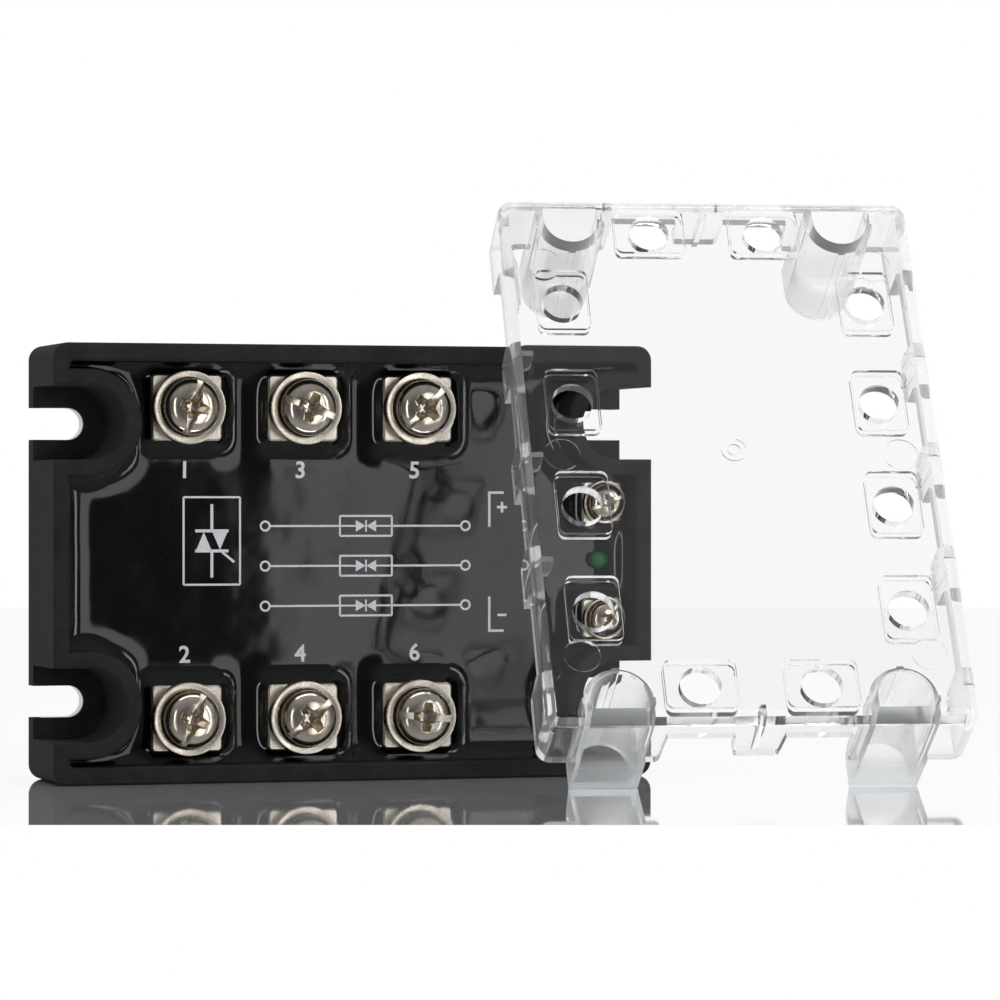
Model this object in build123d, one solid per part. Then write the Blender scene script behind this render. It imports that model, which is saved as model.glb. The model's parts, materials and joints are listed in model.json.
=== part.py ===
from build123d import *
import os
from collections import namedtuple
from math import cos, radians, sin

# Three-phase solid state relay with its clear terminal cover taken off.
#
# The relay is drawn lying on its base plate (x along its length, y across it, height upwards) and
# is then turned to stand on one long side: +X runs along it, +Z is up, and the terminals face -Y.
# The origin is the centre of the base plate's heat-sink face. All sizes are in millimetres.

# Housing and base plate
length = 104.5            # outer length of the housing
width = 73.5              # outer width of the housing
rim_height = 21.5         # heat-sink face to the top of the rim
rim_wall = 3.0            # along the long sides
end_wall = 2.7            # across the ends
corner_radius = 2.5       # outer corners of the housing
cavity_corner = 1.0
edge_bevel = 0.4          # along the top of the rim
base_thickness = 3.0
base_lip = 1.6            # plastic left beside the base plate
base_proud = 0.3          # the plate stands this far out of the plastic
base_gap = 0.1            # round the plate in its rebate
flange_skin = 1.2         # moulded floor over the plate in each mounting recess

# Mounting recesses and slots, two at each end
slot_pitch = 47.0
slot_inset = 6.1          # centre of a slot's round end, from the end of the housing
slot_width = 5.4
recess_width = 12.4
recess_wall = 2.7

# Power terminals: three line terminals along one long side, three load terminals along the other
terminal_pitch = 20.2
middle_terminal_x = -8.05
terminal_row = 26.2       # distance of each row from the centre line
plate_length = 12.2
plate_width = 11.2
plate_thickness = 1.6
plate_corner = 0.8
plate_bevel = 0.3
plate_level = 15.5        # heat-sink face to the top of a terminal plate
block_side = 9.0
block_depth = 7.4         # threaded block below the plate
pedestal_wall = 1.3       # carrier plastic round the block
carrier_web = 3.0

# Input terminals and status lamp, between the two recesses of one end
input_inset = 6.9         # from the end of the housing
input_pitch = 20.0
input_plate = 7.2
input_block = 5.4
lamp_diameter = 3.0
lamp_flange = 0.4         # beyond the lens, on the radius
lamp_flange_height = 0.8
lamp_standoff = 2.4       # flange above the board
lamp_tip_level = 15.2
lead_side = 0.5
lead_pitch = 1.8

# Terminal screws and their washers
Fastening = namedtuple("Fastening", "thread length head_diameter head_height cup_diameter cup_height "
                                    "cup_floor lock_diameter lock_height")
power_screw = Fastening(thread=5.0, length=10.0, head_diameter=9.5, head_height=3.7, cup_diameter=12.4,
                        cup_height=2.2, cup_floor=1.2, lock_diameter=9.2, lock_height=1.3)
input_screw = Fastening(thread=3.0, length=8.0, head_diameter=6.0, head_height=2.4, cup_diameter=7.4,
                        cup_height=1.4, cup_floor=0.7, lock_diameter=5.6, lock_height=0.8)
shank_clearance = 0.1     # between a shank and its bore, on the radius
washer_clearance = 0.2    # between a shank's thread size and its washers, on the radius
lock_clearance = 0.25     # lock washer inside its cup, on the radius
bore_runout = 0.5         # bore left below the tip of a tight screw
cup_flare = 0.15          # the cup's bowl opens by this share of its depth
split_angle = 20          # of the lock washer's split, off the radius
split_share = 0.08        # width of the split, of the lock washer's diameter
head_side = 0.42          # straight side of a head, of its height
shoulder_level = 0.78     # top of a head's shoulder, of its height
shoulder_reach = 0.88     # radius there, of the head's
crown_reach = 0.5         # radius of the flat top, of the head's
drive_slot = (0.13, 0.28)         # width and depth, of the head's diameter and height
drive_cross = (0.56, 0.15, 0.5)   # length, width and depth, of the same
line_drive_angles = (74, -20, 45)
load_drive_angles = (67, 39, -5)
input_drive_angles = (20, 52)

# Potting compound and what it buries
resin_level = 12.8
substrate_gap = 2.2       # between the tiles of neighbouring phases
substrate_length = terminal_pitch - substrate_gap
substrate_width = 40.0
substrate_thickness = 1.0
die_side = 9.0
die_thickness = 0.4
die_row = 14.5
busbar_width = 6.0
busbar_thickness = 0.8
busbar_rise = 1.5         # strips above the underside of the terminal blocks
busbar_level = plate_level - plate_thickness - block_depth + busbar_rise
board_width = 28.0
board_thickness = 1.6
board_level = 7.0
board_start = -38.0
board_end_gap = 0.8
coupler_size = (6.6, 9.2, 3.4)
resistor_size = (3.2, 1.6, 0.6)
resistor_offset = (6.5, 8.0)      # of four, from the middle of their optocoupler
input_resistor_inset = 10.0       # a column of three, from the lamp
input_resistor_step = 5.0

# Clear cover
cover_end_inset = 0.7     # the cover's walls stand this far inside the housing's, at its ends
cover_side_inset = 1.0    # and along its sides
cover_length = length - 2 * cover_end_inset
cover_width = width - 2 * cover_side_inset
cover_corner = 2.5
cover_inner_corner = 0.6
cover_round = 2.3         # rounding between the face and its walls
cover_face = 2.0          # thickness of the face
cover_wall = 2.0
edge_drop = 5.7           # outer face of the cover to the lower edge of its plain walls
tab_drop = 11.6
skirt_drop = 13.5
foot_drop = 22.5
skirt_run = 12.0          # length of each corner skirt along the long side
skirt_past_tube = 2.4     # along the short side, past the guide tube
tab_width = 8.4
tongue_taper = 0.4        # each side of a tab or skirt leans in by this much towards its end
tongue_corner = 0.8
rib_thickness = 1.0
rib_reach = 1.8
rib_depth = 3.0           # upright part of a gusset, below the face
rib_foot = 0.5            # its reach at the end of the tab
tube_clearance = 0.45     # guide tube in a mounting recess, each side
tube_wall = 1.1
tube_inset = 4.7          # centre of the tube's arc, from the end of the cover
tube_mouth_inset = 2.5    # flat side of the tube's bore, from the end of the cover
guide_rib_width = 1.2     # three ribs run down each tube and guide it in its recess
guide_rib_height = 0.3
guide_rib_short = 2.0     # they stop this far above the tube's foot
pad_long = 12.0           # sunk pads round the screwdriver holes
pad_short = 8.8
pad_corner = 1.2
pad_depth = 0.7
driver_hole = 6.9
end_hole_inset = 7.0
mark_diameter = 6.0       # ejector marks under the face
mark_depth = 0.2
mark_inset = 7.0          # from the long side of the cover
mark_spacing = 38.5
gate_diameter = 4.3       # moulding gate's ring in the middle of the face
gate_height = 0.2

# Where the cover leans: turned on end beside the input end of the relay
lean_angle = 31.9
turn_angle = -8.9         # about the vertical
cover_offset = 57.1       # centre of the cover from the centre of the relay, along X
lean_gap = 0.3

margin = 1.0              # cutters run past the faces they cut through
power_x = [middle_terminal_x + terminal_pitch * step for step in (-1, 0, 1)]
input_x = length / 2 - input_inset
plate_underside = plate_level - plate_thickness
floor_level = base_thickness + flange_skin
board_top = board_level + board_thickness
board_end = length / 2 - end_wall - board_end_gap
corners = [(sx, sy) for sx in (-1, 1) for sy in (-1, 1)]


def prism(outline, bottom, top):
    """Solid over an outline between two heights."""
    return extrude(Pos(0, 0, bottom) * outline, top - bottom)


def u_outline(end_x, centre_x, y, radius):
    """Channel with a round inner end, cut off square at end_x."""
    run = Pos((end_x + centre_x) / 2, y) * Rectangle(abs(end_x - centre_x), 2 * radius)
    inner_end = Pos(centre_x, y) * Circle(radius) + run
    return inner_end & (Pos(0, y) * Rectangle(2 * abs(end_x), 2 * radius + margin))


def save(node, part, place=Rot(90, 0, 0)):
    """Write a node, turned from the bench to where it stands."""
    export_step(place * part, "parts/" + node + ".step")


# ---------------------------------------------------------------- housing

def recess_outlines(radius):
    """The four mounting channels at a given half width, on the recess centre lines."""
    end = length / 2 + margin
    centre = length / 2 - slot_inset
    return [u_outline(sx * end, sx * centre, sy * slot_pitch / 2, radius) for sx, sy in corners]


def cavity_outline():
    """Plan of the potted space: inside the rim, outside the recess walls."""
    inside = RectangleRounded(length - 2 * end_wall, width - 2 * rim_wall, cavity_corner)
    for wall in recess_outlines(recess_width / 2 + recess_wall):
        inside -= wall
    return inside


def make_housing():
    """Moulded frame round the base plate, with an open recess over each mounting slot."""
    shell = prism(RectangleRounded(length, width, corner_radius), base_proud, rim_height)
    shell -= prism(cavity_outline(), 0, rim_height + margin)
    for recess in recess_outlines(recess_width / 2):
        shell -= prism(recess, floor_level, rim_height + margin)
    shell = chamfer(shell.edges().group_by(Axis.Z)[-1], edge_bevel)
    for slot in recess_outlines(slot_width / 2):
        shell -= prism(slot, 0, floor_level + margin)
    rebate = RectangleRounded(length - 2 * base_lip, width - 2 * base_lip, corner_radius)
    return shell - prism(rebate, 0, base_thickness)


def make_base_plate():
    side = base_lip + base_gap
    plate = prism(RectangleRounded(length - 2 * side, width - 2 * side, corner_radius), 0, base_thickness)
    for slot in recess_outlines(slot_width / 2):
        plate -= prism(slot, -margin, base_thickness + margin)
    return plate


# ---------------------------------------------------------------- terminals

def seat_height(screw):
    """Terminal plate to the underside of a tight screw's head."""
    return screw.cup_floor + screw.lock_height


def bore_bottom(screw):
    """A threaded bore ends a little below the tip of its tight screw."""
    return plate_level + seat_height(screw) - screw.length - bore_runout


def make_terminal(x, y, plan, block, screw):
    """Plate with bevelled edges on a threaded block."""
    plate = prism(RectangleRounded(*plan, plate_corner), plate_underside, plate_level)
    plate = chamfer(plate.edges().group_by(Axis.Z)[-1], plate_bevel)
    side, depth = block
    terminal = plate + prism(Rectangle(side, side), plate_underside - depth, plate_underside)
    terminal -= prism(Circle(screw.thread / 2), bore_bottom(screw), plate_level + margin)
    return Pos(x, y, 0) * terminal


def make_carrier(row_side):
    """Moulded strip under one row of power terminals, one pedestal to each."""
    y = row_side * terminal_row
    side = block_side + 2 * pedestal_wall
    span = power_x[2] - power_x[0] + side
    strip = Pos((power_x[0] + power_x[2]) / 2, y) * Rectangle(span, side)
    carrier = prism(strip, base_thickness, base_thickness + carrier_web)
    for x in power_x:
        carrier += prism(Pos(x, y) * Rectangle(side, side), base_thickness, plate_underside)
    for x in power_x:
        socket = Pos(x, y) * Rectangle(block_side, block_side)
        carrier -= prism(socket, plate_underside - block_depth, plate_underside + margin)
        gate = Pos(x, y - row_side * side / 2) * Rectangle(busbar_width, side)
        carrier -= prism(gate, busbar_level, busbar_level + busbar_thickness)
    return carrier


# ---------------------------------------------------------------- screws

def turned(points):
    """Solid of revolution about the vertical, from its half section."""
    return revolve(Plane.XZ * make_face(Polyline(*points, close=True)), Axis.Z)


def make_cup(screw):
    """Cup washer: a dished disc whose rim stands up round the lock washer."""
    radius = screw.cup_diameter / 2
    bowl = screw.lock_diameter / 2 + lock_clearance
    hole = screw.thread / 2 + washer_clearance
    flare = cup_flare * (screw.cup_height - screw.cup_floor)
    return turned([(hole, 0), (radius, 0), (radius, screw.cup_height),
                   (bowl + flare, screw.cup_height), (bowl, screw.cup_floor), (hole, screw.cup_floor)])


def make_lock(screw):
    """Split spring washer, flat as it is under a tight screw."""
    reach = screw.lock_diameter
    ring = Circle(reach / 2) - Circle(screw.thread / 2 + washer_clearance)
    split = Pos(reach / 2, 0) * Rot(0, 0, split_angle) * Rectangle(reach, split_share * reach)
    return prism(ring - split, screw.cup_floor, seat_height(screw))


def make_screw(screw, drive_angle):
    """Pan head screw with a slot and a cross in its head."""
    head, height = screw.head_diameter / 2, screw.head_height
    seat = seat_height(screw)
    top, tip = seat + height, seat - screw.length
    shank = screw.thread / 2 - shank_clearance
    point = 0.1 * screw.thread
    solid = turned([(0, tip), (shank - point, tip), (shank, tip + point), (shank, seat), (head, seat),
                    (head, seat + head_side * height),
                    (shoulder_reach * head, seat + shoulder_level * height),
                    (crown_reach * head, top), (0, top)])
    slot_across, slot_deep = drive_slot
    slot = Rectangle(2 * head + margin, slot_across * 2 * head)
    solid -= prism(slot, top - slot_deep * height, top + margin)
    wing_long, wing_across, wing_deep = drive_cross
    wing = Rectangle(wing_long * 2 * head, wing_across * 2 * head)
    for angle in (0, 90):
        solid -= prism(Rot(0, 0, angle) * wing, top - wing_deep * height, top + margin)
    return Rot(0, 0, drive_angle) * solid


def save_fastening(name, x, y, screw, drive_angle):
    """The three pieces that go on one terminal."""
    at = Pos(x, y, plate_level)
    save(name + "_cup_washer", at * make_cup(screw))
    save(name + "_lock_washer", at * Rot(0, 0, drive_angle) * make_lock(screw))
    save(name + "_screw", at * make_screw(screw, drive_angle))


# ---------------------------------------------------------------- what the resin buries

def make_substrate(x):
    """Metal-clad ceramic tile that carries one phase."""
    tile = Pos(x, 0) * Rectangle(substrate_length, substrate_width)
    return prism(tile, base_thickness, base_thickness + substrate_thickness)


def make_dies():
    """Six thyristor dies, two to each phase."""
    bottom = base_thickness + substrate_thickness
    places = [Pos(x, side * die_row) for x in power_x for side in (-1, 1)]
    return Compound([prism(place * Rectangle(die_side, die_side), bottom, bottom + die_thickness)
                     for place in places])


def make_busbars(row_side):
    """Z-bent copper strips from the dies up to one row of terminal blocks."""
    bottom = base_thickness + substrate_thickness + die_thickness
    foot_end = die_row + busbar_width / 2
    reach = terminal_row - block_side / 2 - foot_end
    bars = []
    for x in power_x:
        foot = Pos(x, row_side * die_row) * Rectangle(busbar_width, busbar_width)
        bend = row_side * (foot_end + busbar_thickness / 2)
        riser = Pos(x, bend) * Rectangle(busbar_width, busbar_thickness)
        strip = Pos(x, row_side * (foot_end + reach / 2)) * Rectangle(busbar_width, reach)
        bar = prism(foot, bottom, bottom + busbar_thickness)
        bar += prism(riser, bottom, busbar_level + busbar_thickness)
        bar += prism(strip, busbar_level, busbar_level + busbar_thickness)
        bars.append(bar)
    return Compound(bars)


def make_board():
    """Driver board over the substrates."""
    outline = Pos((board_start + board_end) / 2, 0) * Rectangle(board_end - board_start, board_width)
    return prism(outline, board_level, board_top)


def make_couplers():
    """Three optocouplers in a row down the board."""
    size_x, size_y, size_z = coupler_size
    return Compound([prism(Pos(x, 0) * Rectangle(size_x, size_y), board_top, board_top + size_z)
                     for x in power_x])


def make_board_parts():
    """Resistors beside each optocoupler, and the input's own on the lamp's side."""
    size_x, size_y, size_z = resistor_size
    along, across = resistor_offset
    places = [(x + sx * along, sy * across) for x in power_x for sx, sy in corners]
    places += [(input_x - input_resistor_inset, step * input_resistor_step) for step in (-1, 0, 1)]
    return Compound([prism(Pos(*place) * Rectangle(size_x, size_y), board_top, board_top + size_z)
                     for place in places])


def make_lamp():
    """Domed lamp with a flange, standing on two leads."""
    radius = lamp_diameter / 2
    base = board_top + lamp_standoff
    flange, rim = radius + lamp_flange, base + lamp_flange_height
    dome = lamp_tip_level - radius
    with BuildPart() as lens:
        with BuildSketch(Plane.XZ):
            with BuildLine():
                Polyline((0, lamp_tip_level), (0, base), (flange, base), (flange, rim),
                         (radius, rim), (radius, dome))
                RadiusArc((radius, dome), (0, lamp_tip_level), -radius)
            make_face()
        revolve(axis=Axis.Z)
    lamp = lens.part
    for side in (-1, 1):
        lead = Pos(0, side * lead_pitch / 2) * Rectangle(lead_side, lead_side)
        lamp += prism(lead, board_top, (base + rim) / 2)
    return Pos(input_x, 0, 0) * lamp


# ---------------------------------------------------------------- cover

inner_length = cover_length - 2 * cover_wall
inner_width = cover_width - 2 * cover_wall
tube_radius = recess_width / 2 - tube_clearance
tab_places = [terminal_pitch * step for step in (-1, 0, 1)]


def tongue(start, end, drop, free_ends=(True, True)):
    """Outline of a tab or a skirt below the walls, drawn with the drop along -y."""
    lean = [tongue_taper if free else 0 for free in free_ends]
    root = -edge_drop + margin
    shape = make_face(Polyline((start, root), (start, -edge_drop), (start + lean[0], -drop),
                               (end - lean[1], -drop), (end, -edge_drop), (end, root), close=True))
    tips = shape.vertices().group_by(Axis.Y)[0].sort_by(Axis.X)
    return fillet([tip for tip, free in zip(tips, free_ends) if free], tongue_corner)


def make_tongues():
    """Everything that hangs below the plain walls: corner skirts, and tabs between them."""
    outline = RectangleRounded(cover_length, cover_width, cover_corner)
    inner = RectangleRounded(inner_length, inner_width, cover_inner_corner)
    ring = prism(outline - inner, -skirt_drop, -edge_drop + margin)
    long_walls = ring - prism(Rectangle(2 * cover_length, inner_width), -skirt_drop - margin, 0)
    short_walls = ring - prism(Rectangle(inner_length, 2 * cover_width), -skirt_drop - margin, 0)

    far = cover_length / 2 + margin
    skirt_end = cover_length / 2 - skirt_run
    along = [tongue(skirt_end, far, skirt_drop, (True, False)),
             tongue(-far, -skirt_end, skirt_drop, (False, True))]
    along += [tongue(x - tab_width / 2, x + tab_width / 2, tab_drop) for x in tab_places]
    wide = cover_width / 2 + margin
    skirt_end = slot_pitch / 2 - tube_radius - skirt_past_tube
    across = [tongue(skirt_end, wide, skirt_drop, (True, False)),
              tongue(-wide, -skirt_end, skirt_drop, (False, True)),
              tongue(-tab_width / 2, tab_width / 2, tab_drop)]
    tongues = [long_walls & extrude(Plane.XZ * shape, cover_width, both=True) for shape in along]
    tongues += [short_walls & extrude(Plane.YZ * shape, cover_length, both=True) for shape in across]
    return tongues


def make_gusset():
    """Rib between the face and a tab; the wall is at x = 0 and the rib reaches to -x."""
    top, root = -cover_face + cover_wall / 2, cover_wall / 4
    profile = make_face(Polyline((root, top), (-rib_reach, top), (-rib_reach, -cover_face - rib_depth),
                                 (-rib_foot, -tab_drop), (root, -tab_drop), close=True))
    return extrude(Plane.XZ * profile, rib_thickness / 2, both=True)


def tube_outlines(radius, inset):
    """The four guide tubes' plans at one radius, flat towards the ends of the cover."""
    end, centre = cover_length / 2 - inset, cover_length / 2 - tube_inset
    return [u_outline(sx * end, sx * centre, sy * slot_pitch / 2, radius) for sx, sy in corners]


def make_guide_ribs():
    """Three ribs down each tube: one on the arc, and one at each end of the arc's diameter."""
    reach = tube_radius + guide_rib_height
    half_width = guide_rib_width / 2
    ribs = []
    for sx, sy in corners:
        x, y = sx * (cover_length / 2 - tube_inset), sy * slot_pitch / 2
        inward = Pos(x - sx * reach / 2, y) * Rectangle(reach, 2 * half_width)
        sideways = Pos(x, y) * Rectangle(2 * half_width, 2 * reach)
        ribs.append(prism(inward + sideways, -foot_drop + guide_rib_short, -cover_face))
    return ribs


def hole_places():
    """Screwdriver holes: four along each long side and two at each end."""
    steps = (-1.5, -0.5, 0.5, 1.5)
    sides = [(step * terminal_pitch, side * terminal_row) for step in steps for side in (-1, 1)]
    end = cover_length / 2 - end_hole_inset
    ends = [(sx * end, sy * input_pitch / 2) for sx, sy in corners]
    return sides, ends


def make_cover():
    """Clear cover, its outer face at z = 0 and its feet below."""
    outline = RectangleRounded(cover_length, cover_width, cover_corner)
    cover = prism(outline, -edge_drop, 0)
    cover = fillet(cover.edges().group_by(Axis.Z)[-1], cover_round)
    inner = RectangleRounded(inner_length, inner_width, cover_inner_corner)
    cover -= prism(inner, -edge_drop - margin, -cover_face)
    for piece in make_tongues():
        cover += piece

    gusset = make_gusset()
    for side in (-1, 1):
        for x in tab_places:
            cover += Pos(x, side * (cover_width / 2 - cover_wall), 0) * Rot(0, 0, 90 * side) * gusset
        turn = 0 if side > 0 else 180
        cover += Pos(side * (cover_length / 2 - cover_wall), 0, 0) * Rot(0, 0, turn) * gusset

    for tube in tube_outlines(tube_radius, 0):
        cover += prism(tube, -foot_drop, -cover_face)
    for rib in make_guide_ribs():
        cover += rib
    for bore in tube_outlines(tube_radius - tube_wall, tube_mouth_inset):
        cover -= prism(bore, -foot_drop - margin, margin)

    sides, ends = hole_places()
    for places, size in ((sides, (pad_long, pad_short)), (ends, (pad_short, pad_long))):
        for place in places:
            pad = Pos(*place) * RectangleRounded(*size, pad_corner)
            cover += prism(pad, -cover_face - pad_depth, -cover_face)
            cover -= prism(pad, -pad_depth, margin)
    for place in sides + ends:
        cover -= prism(Pos(*place) * Circle(driver_hole / 2), -cover_face - margin, margin)

    mark_row = cover_width / 2 - mark_inset
    for step, side in [(step, side) for step in (-1, 0, 1) for side in (-1, 1)]:
        mark = Pos(step * mark_spacing, side * mark_row) * Circle(mark_diameter / 2)
        cover -= prism(mark, -cover_face - margin, mark_depth - cover_face)
    gate = Circle(gate_diameter / 2) - Circle(gate_diameter / 4)
    cover += prism(gate, -cover_face / 2, gate_height)
    return cover


def cover_place():
    """Where the cover stands: on its two lower feet, leaning back beside the relay."""
    lean, turn = radians(lean_angle), radians(turn_angle)
    up = Vector(-sin(lean) * sin(turn), sin(lean) * cos(turn), cos(lean))
    outward = Vector(cos(lean) * sin(turn), -cos(lean) * cos(turn), sin(lean))
    centre_z = -width / 2 + cover_length / 2 * cos(lean) + foot_drop * sin(lean)
    reaches = []
    # What could touch the relay's rim first: the round corner of the tab nearest its top, or the mouth
    # of an upper tube, from one end of each to the other, as far up as the relay stands.
    tab_end = terminal_pitch + tab_width / 2 - tongue_taper
    tube_start = cover_length / 2 - tube_inset - tube_radius
    for start, end, drop in ((tab_end - tab_width, tab_end, tab_drop), (tube_start, cover_length / 2, foot_drop)):
        along, below = end - tongue_corner, drop - tongue_corner
        relay_top = (width / 2 - centre_z + below * sin(lean)) / cos(lean)
        if start < relay_top:
            reaches.append(min(along, relay_top) * sin(lean) + below * cos(lean) + tongue_corner)
    reach = max(reaches) * cos(turn) - cover_width / 2 * sin(turn)
    centre = Vector(cover_offset, -rim_height - lean_gap - reach, centre_z)
    return Plane(origin=centre, x_dir=up, z_dir=outward).location


# ---------------------------------------------------------------- build

os.makedirs("parts", exist_ok=True)

buried = []
bores = []


def save_buried(node, part):
    save(node, part)
    buried.append(part)


save("housing", make_housing())
save("base_plate", make_base_plate())

power_plan = (plate_length, plate_width)
for row_name, side, angles in (("line", 1, line_drive_angles), ("load", -1, load_drive_angles)):
    save_buried(row_name + "_carrier", make_carrier(side))
    save_buried(row_name + "_busbars", make_busbars(side))
    for number, (x, angle) in enumerate(zip(power_x, angles), 1):
        y = side * terminal_row
        terminal = make_terminal(x, y, power_plan, (block_side, block_depth), power_screw)
        save_buried(row_name + "_terminal_" + str(number), terminal)
        bores.append(Pos(x, y) * Circle(power_screw.thread / 2))
        save_fastening(row_name + "_" + str(number), x, y, power_screw, angle)

for pole, side, angle in (("plus", 1, input_drive_angles[0]), ("minus", -1, input_drive_angles[1])):
    y = side * input_pitch / 2
    block = (input_block, plate_underside - board_top)
    terminal = make_terminal(input_x, y, (input_plate, input_plate), block, input_screw)
    save_buried("input_terminal_" + pole, terminal)
    bores.append(Pos(input_x, y) * Circle(input_screw.thread / 2))
    save_fastening("input_" + pole, input_x, y, input_screw, angle)

for number, x in enumerate(power_x, 1):
    save_buried("substrate_" + str(number), make_substrate(x))
save_buried("thyristor_dies", make_dies())
save_buried("driver_board", make_board())
save_buried("optocouplers", make_couplers())
save_buried("board_parts", make_board_parts())
save_buried("status_lamp", make_lamp())

resin = prism(cavity_outline(), base_thickness, resin_level)
for piece in buried:
    resin -= piece
for bore in bores:
    resin -= prism(bore, bore_bottom(power_screw), resin_level + margin)
save("potting_resin", resin)

save("clear_cover", make_cover(), cover_place())
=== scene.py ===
import json
import math

import bmesh
import bpy
import numpy as np
from mathutils import Matrix, Vector, noise


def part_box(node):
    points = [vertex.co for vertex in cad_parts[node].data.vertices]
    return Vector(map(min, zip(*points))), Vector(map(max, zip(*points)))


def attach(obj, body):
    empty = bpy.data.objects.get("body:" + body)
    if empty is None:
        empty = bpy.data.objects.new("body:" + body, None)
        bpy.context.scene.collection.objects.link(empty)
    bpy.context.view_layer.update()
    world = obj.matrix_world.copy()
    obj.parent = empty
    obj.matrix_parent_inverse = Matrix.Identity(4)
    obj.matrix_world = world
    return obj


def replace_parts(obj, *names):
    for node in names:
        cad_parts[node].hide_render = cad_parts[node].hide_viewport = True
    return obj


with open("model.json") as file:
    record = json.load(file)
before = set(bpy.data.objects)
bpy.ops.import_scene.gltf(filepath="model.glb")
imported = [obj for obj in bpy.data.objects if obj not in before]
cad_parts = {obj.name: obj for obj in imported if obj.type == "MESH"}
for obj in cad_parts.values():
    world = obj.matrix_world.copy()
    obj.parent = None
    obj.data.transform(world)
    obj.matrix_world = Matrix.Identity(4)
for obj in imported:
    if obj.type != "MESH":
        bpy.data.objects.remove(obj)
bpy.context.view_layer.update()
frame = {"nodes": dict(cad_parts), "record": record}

# Sizes are in millimetres and turned to metres when a mesh is made. Pieces of the relay are made on
# a bench, lying on the heat-sink face with height upwards, and are then turned to stand up.
MM = 0.001
STAND_UP = Matrix.Rotation(math.radians(90), 4, "X")


def corners(node):
    """Lowest and highest corners of a node in millimetres."""
    low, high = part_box(node)
    return [c / MM for c in low], [c / MM for c in high]


# ------------------------------------------------------------------ sizes read from the frame

HOUSING_LOW, HOUSING_HIGH = corners("housing")
HALF_LENGTH = HOUSING_HIGH[0]
RESIN_HIGH = corners("potting_resin")[1]
HALF_WELL = (RESIN_HIGH[0], RESIN_HIGH[2])     # inside of the rim

POWER = [row + "_" + str(n) for row in ("line", "load") for n in (1, 2, 3)]
INPUTS = ["input_plus", "input_minus"]


def terminal_node(name):
    """The terminal under a fastening: line_2 stands on line_terminal_2."""
    group, mark = name.split("_")
    return group + "_terminal_" + mark


def centre_of(name):
    """Bench place of a terminal's axis and the height of its plate."""
    low, high = corners(terminal_node(name))
    return (low[0] + high[0]) / 2, (low[2] + high[2]) / 2, -low[1]


# The cover leans back and is turned a little; its outer face looks along COVER_OUTWARD.
COVER_LEAN, COVER_TURN = math.radians(31.9), math.radians(-8.9)
COVER_OUTWARD = Vector((math.cos(COVER_LEAN) * math.sin(COVER_TURN),
                        -math.cos(COVER_LEAN) * math.cos(COVER_TURN), math.sin(COVER_LEAN)))
COVER_FACE = max(COVER_OUTWARD.dot(v.co) for v in frame["nodes"]["clear_cover"].data.vertices)

# ------------------------------------------------------------------ nodes and colours


def hex_colour(code):
    """sRGB hex to the linear colour that shaders take."""
    parts = [int(code[i:i + 2], 16) / 255 for i in (1, 3, 5)]
    return (*[p / 12.92 if p <= 0.04045 else ((p + 0.055) / 1.055) ** 2.4 for p in parts], 1.0)


def add(tree, kind, inputs=None, **settings):
    """Add a node with its settings; inputs gives sockets a value or the output that feeds them."""
    made = tree.nodes.new("ShaderNode" + kind)
    for name, value in settings.items():
        setattr(made, name, value)
    for socket, value in (inputs or {}).items():
        if isinstance(value, bpy.types.NodeSocket):
            tree.links.new(value, made.inputs[socket])
        else:
            made.inputs[socket].default_value = value
    return made


def new_material(name):
    """An empty material with an output, and its tree."""
    made = bpy.data.materials.new(name)
    made.use_nodes = True
    tree = made.node_tree
    tree.nodes.clear()
    return made, tree, add(tree, "OutputMaterial")


def speckle(tree, place, size, detail=2.0, roughness=0.5):
    """Noise whose blotches are about size millimetres across."""
    return add(tree, "TexNoise", {"Vector": place, "Scale": 1 / (size * MM), "Detail": detail,
                                  "Roughness": roughness}).outputs["Fac"]


def ranged(tree, value, low, high, to_low, to_high):
    """A value stretched from one range to another, held at its ends."""
    return add(tree, "MapRange", {"Value": value, "From Min": low, "From Max": high,
                                  "To Min": to_low, "To Max": to_high}).outputs["Result"]


def blended(tree, share, first, second):
    """A colour part way from first to second."""
    made = add(tree, "Mix", data_type="RGBA")
    made.inputs[0].default_value = 0.5
    tree.links.new(share, made.inputs[0])
    for socket, value in ((made.inputs[6], first), (made.inputs[7], second)):
        if isinstance(value, bpy.types.NodeSocket):
            tree.links.new(value, socket)
        else:
            socket.default_value = value
    return made.outputs[2]


def bumped(tree, height, depth, strength=1.0):
    """Normal for a height that runs 0 to 1 over depth millimetres."""
    made = add(tree, "Bump", {"Height": height, "Distance": depth * MM, "Strength": strength})
    return made.outputs["Normal"]


def moulded_pbt(name, base, worn):
    """Glass-filled PBT from a spark-eroded mould: near black, matt, with a fine pebbled grain."""
    made, tree, out = new_material(name)
    place = add(tree, "TexCoord").outputs["Object"]
    grain = speckle(tree, place, 0.5, 4.0, 0.62)
    patches = speckle(tree, place, 6.0, 4.0, 0.65)
    scuffs = ranged(tree, speckle(tree, place, 1.3, 6.0, 0.75), 0.63, 0.76, 0.0, 0.5)
    colour = blended(tree, ranged(tree, patches, 0.35, 0.7, 0.0, 1.0), hex_colour(base), hex_colour(worn))
    colour = blended(tree, scuffs, colour, hex_colour("#48484a"))
    rough = ranged(tree, patches, 0.3, 0.7, 0.75, 0.9)
    shader = add(tree, "BsdfPrincipled", {
        "Base Color": colour, "Roughness": rough, "IOR": 1.5, "Specular IOR Level": 0.1,
        "Normal": bumped(tree, grain, 0.06, 1.0)})
    tree.links.new(shader.outputs[0], out.inputs["Surface"])
    return made


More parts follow.
